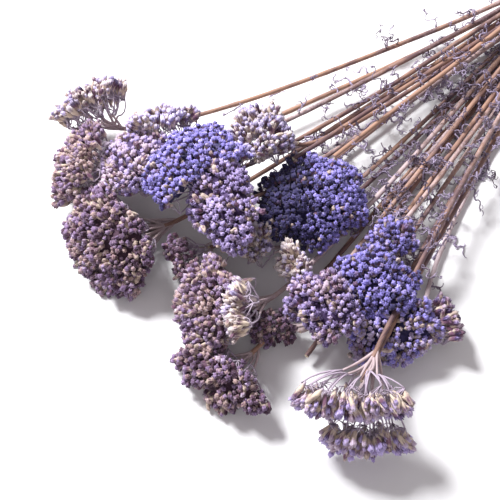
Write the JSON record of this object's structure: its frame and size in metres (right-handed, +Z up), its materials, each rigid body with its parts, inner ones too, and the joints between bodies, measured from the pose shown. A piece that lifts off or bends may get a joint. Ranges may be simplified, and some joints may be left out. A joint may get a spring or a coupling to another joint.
{
  "type": "dried flower bunch",
  "caption": "Dried yarrow bunch lying down: straight cut stems gathered in a twine tie fan out to flat domed heads of tight blue-violet florets.",
  "frame": {"origin": "under the middle of the bunch's bounding box, on the surface it lies on", "axes": "+X runs along the stems from the cut ends to the flowers, +Z is up"},
  "size_m": [0.453, 0.2682, 0.059],
  "materials": {
    "florets_blue": "matt dried florets, blue",
    "florets_violet": "matt dried florets, violet",
    "florets_brown": "matt dried florets, purple brown",
    "florets_pale": "matt dried florets, pale lavender and cream",
    "stems": "dry ribbed bark, dull",
    "twine": "dull twisted fibre"
  },
  "bodies": {
    "root": {"head_01": "florets_blue", "head_02": "florets_violet", "head_03": "florets_blue", "head_04": "florets_violet", "head_05": "florets_pale", "head_06": "florets_brown", "head_07": "florets_violet", "head_08": "florets_blue", "head_09": "florets_brown", "head_10": "florets_brown", "head_11": "florets_violet", "head_12": "florets_pale", "head_13": "florets_blue", "head_14": "florets_brown", "head_15": "florets_violet", "head_16": "florets_pale", "head_17": "florets_blue", "head_18": "florets_brown", "head_19": "florets_brown", "head_20": "florets_violet", "head_21": "florets_pale", "head_22": "florets_pale", "head_23": "florets_pale", "stem_01": "stems", "stem_02": "stems", "stem_03": "stems", "stem_04": "stems", "stem_05": "stems", "stem_06": "stems", "stem_07": "stems", "stem_08": "stems", "stem_09": "stems", "stem_10": "stems", "stem_11": "stems", "stem_12": "stems", "stem_13": "stems", "stem_14": "stems", "stem_15": "stems", "stem_16": "stems", "stem_17": "stems", "stem_18": "stems", "stem_19": "stems", "stem_20": "stems", "stem_21": "stems", "stem_22": "stems", "stem_23": "stems", "stem_24": "stems", "tie": "twine"}
  },
  "joints": []
}
